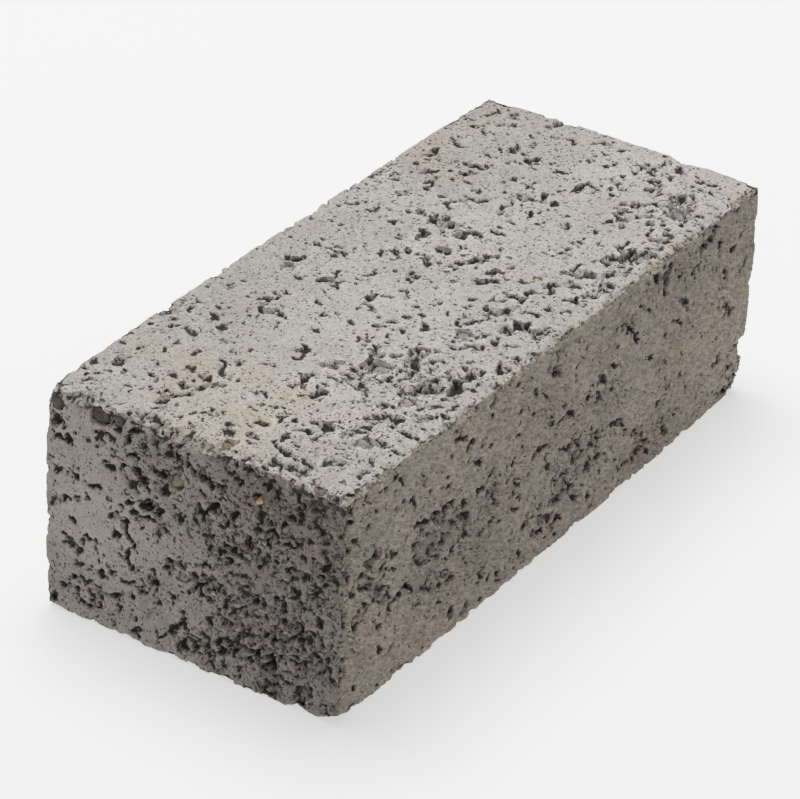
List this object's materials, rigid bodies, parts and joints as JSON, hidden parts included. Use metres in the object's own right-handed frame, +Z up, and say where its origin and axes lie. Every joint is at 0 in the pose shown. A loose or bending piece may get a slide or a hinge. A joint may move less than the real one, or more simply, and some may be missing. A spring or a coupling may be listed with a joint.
{
  "type": "concrete brick",
  "caption": "Solid pressed concrete brick, a rectangular block of porous grey cement mortar with pebbles, stone chips and grit showing in its faces.",
  "frame": {"origin": "middle of the lower bed face, on the surface that the brick stands on", "axes": "+X along the length, away from the near end face; +Y across the width, towards the back long side; +Z up through the height"},
  "size_m": [0.23, 0.1, 0.073],
  "materials": {
    "mortar": "dry, sandy, porous set cement mortar",
    "grey_stone": "dull broken grey stone",
    "pale_stone": "dull smooth cream to white stone",
    "brown_stone": "dull rounded brown stone",
    "ochre_stone": "dull ochre to orange stone chip",
    "tan_stone": "dull tan to pinkish stone"
  },
  "bodies": {
    "root": {"mortar_body": "mortar", "ochre_chip_top": "ochre_stone", "brown_stone_top": "brown_stone", "pale_pebble_top": "pale_stone", "orange_chip_top": "ochre_stone", "left_cream_stone": "pale_stone", "right_cream_stone": "pale_stone", "far_hollow_stone": "grey_stone", "rim_hollow_stone": "grey_stone", "middle_grey_stone": "grey_stone", "near_grey_stone": "grey_stone", "bright_stone": "pale_stone", "large_rough_stone": "grey_stone", "small_rough_stone": "grey_stone", "pink_stone": "tan_stone", "dark_stone_top": "grey_stone", "slot_stone": "grey_stone", "yellow_arris_chip": "ochre_stone", "edge_pebble": "brown_stone", "edge_stone": "grey_stone", "corner_brown_stone": "brown_stone", "orange_chip_end": "ochre_stone", "tan_grain_end": "tan_stone", "olive_pebble_end": "tan_stone", "tan_stone_end": "tan_stone", "pale_stone_end": "pale_stone", "tan_arris_chip": "tan_stone", "cream_rim_stone": "pale_stone", "white_fleck_front": "pale_stone", "round_stone_front": "grey_stone", "yellow_fleck_front": "ochre_stone", "orange_fleck_front": "ochre_stone", "pale_stone_front": "pale_stone", "dark_stone_front": "grey_stone", "tan_pebble_back": "tan_stone", "grey_stone_back": "grey_stone", "brown_pebble_far_end": "brown_stone", "grey_stone_far_end": "grey_stone", "grey_stone_bed": "grey_stone", "tan_chip_bed": "tan_stone", "grit_top": "grey_stone", "grit_near_end": "grey_stone", "grit_front": "grey_stone", "grit_back": "grey_stone", "grit_far_end": "grey_stone", "grit_bed": "grey_stone"}
  },
  "joints": []
}
